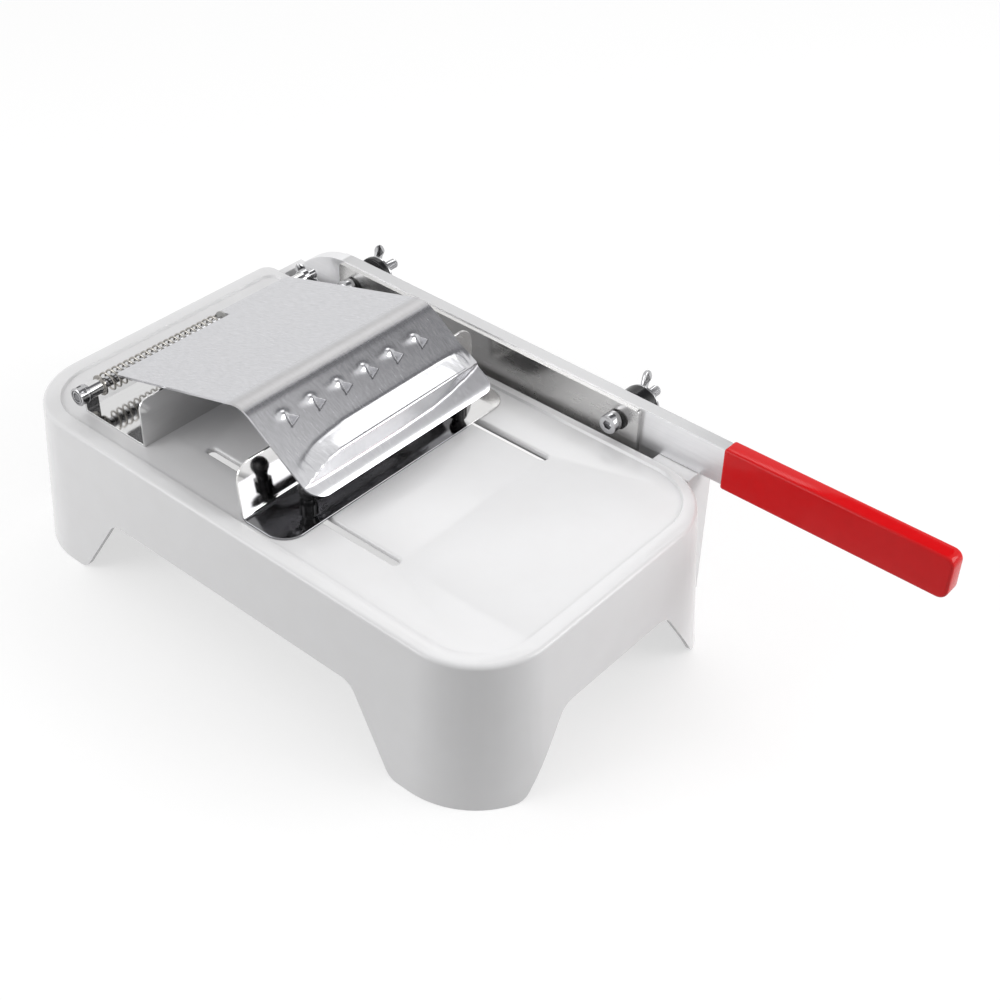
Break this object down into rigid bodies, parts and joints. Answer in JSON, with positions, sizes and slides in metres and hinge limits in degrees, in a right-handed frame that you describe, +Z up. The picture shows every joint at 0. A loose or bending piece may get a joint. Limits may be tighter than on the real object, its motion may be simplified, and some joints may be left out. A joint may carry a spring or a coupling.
{
  "type": "frozen meat slicer",
  "caption": "Hand slicer for frozen meat: white base with deck, lever blade with grip at the right, toothed press plate on a sprung rod, adjustable fence",
  "frame": {"origin": "On the ground, under the middle of the whole object's bounding box", "axes": "+Z up; +Y away from the person who holds the grip; +X towards the blade's side"},
  "size_m": [0.2404, 0.479, 0.1377],
  "materials": {
    "base": "glossy moulded plastic, near white",
    "plate": "brushed stainless sheet",
    "mirror_sheet": "polished stainless sheet",
    "blade": "ground and polished knife steel",
    "bar": "satin steel bar",
    "grip": "glossy red dipped sleeve",
    "hardware": "bright plated fastenings",
    "black": "black moulded plastic",
    "seal": "black rubber",
    "liner": "plain bearing plastic"
  },
  "bodies": {
    "base": {"base_housing": "base", "pivot_bush": "liner", "rear_wall_bracket": "mirror_sheet", "bracket_studs": "hardware", "bracket_nuts": "hardware", "guide_rod": "hardware", "rod_sleeve_nut": "hardware", "spring_washer": "hardware", "feed_spring": "hardware"},
    "lever": {"lever_bar": "bar", "blade": "blade", "grip": "grip", "front_bolt": "hardware", "pivot_bolt": "hardware", "front_ring": "seal", "pivot_ring": "seal", "front_spacer": "black", "pivot_spacer": "black", "front_washer": "hardware", "pivot_washer": "hardware"},
    "front_wing_nut": {"front_wing_nut": "hardware"},
    "pivot_wing_nut": {"pivot_wing_nut": "hardware"},
    "rod_wing_nut": {"rod_wing_nut": "hardware"},
    "press_slider": {"slide_bush": "liner"},
    "press_plate": {"press_plate": "plate"},
    "fence": {"fence_plate": "mirror_sheet", "fence_nut_left": "hardware", "fence_nut_right": "hardware"},
    "fence_knob_left": {"fence_knob_left": "black"},
    "fence_knob_right": {"fence_knob_right": "black"}
  },
  "joints": [
    {"name": "lever_hinge", "type": "hinge", "parent": "base", "child": "lever", "pos_m": [0.0899, 0.15855, 0.1019], "axis": [-1, 0, 0], "range_deg": [0, 62]},
    {"name": "press_slide", "type": "slide", "parent": "base", "child": "press_slider", "axis": [-1, 0, 0], "range_m": [0, 0.055], "stiffness_N_per_m": 120, "springref_m": -0.01, "deforming": ["feed_spring"]},
    {"name": "press_lift", "type": "hinge", "parent": "press_slider", "child": "press_plate", "pos_m": [0.0307, 0.18605, 0.1035], "axis": [-1, 0, 0], "range_deg": [0, 100]},
    {"name": "fence_slide", "type": "slide", "parent": "base", "child": "fence", "axis": [0, 1, 0], "range_m": [0, 0.06]},
    {"name": "fence_knob_left_turn", "type": "hinge", "parent": "fence", "child": "fence_knob_left", "pos_m": [-0.0722, 0.03855, 0.097], "axis": [0, 0, 1], "range_deg": [-180, 180]},
    {"name": "fence_knob_right_turn", "type": "hinge", "parent": "fence", "child": "fence_knob_right", "pos_m": [0.0423, 0.03855, 0.097], "axis": [0, 0, 1], "range_deg": [-180, 180]},
    {"name": "rod_wing_nut_turn", "type": "hinge", "parent": "base", "child": "rod_wing_nut", "pos_m": [0.0707, 0.18605, 0.1035], "axis": [1, 0, 0], "range_deg": [-180, 180]},
    {"name": "front_wing_nut_turn", "type": "hinge", "parent": "lever", "child": "front_wing_nut", "pos_m": [0.1077, -0.04125, 0.1006], "axis": [1, 0, 0], "range_deg": [-180, 180]},
    {"name": "pivot_wing_nut_turn", "type": "hinge", "parent": "lever", "child": "pivot_wing_nut", "pos_m": [0.1077, 0.15855, 0.1019], "axis": [1, 0, 0], "range_deg": [-180, 180]}
  ]
}
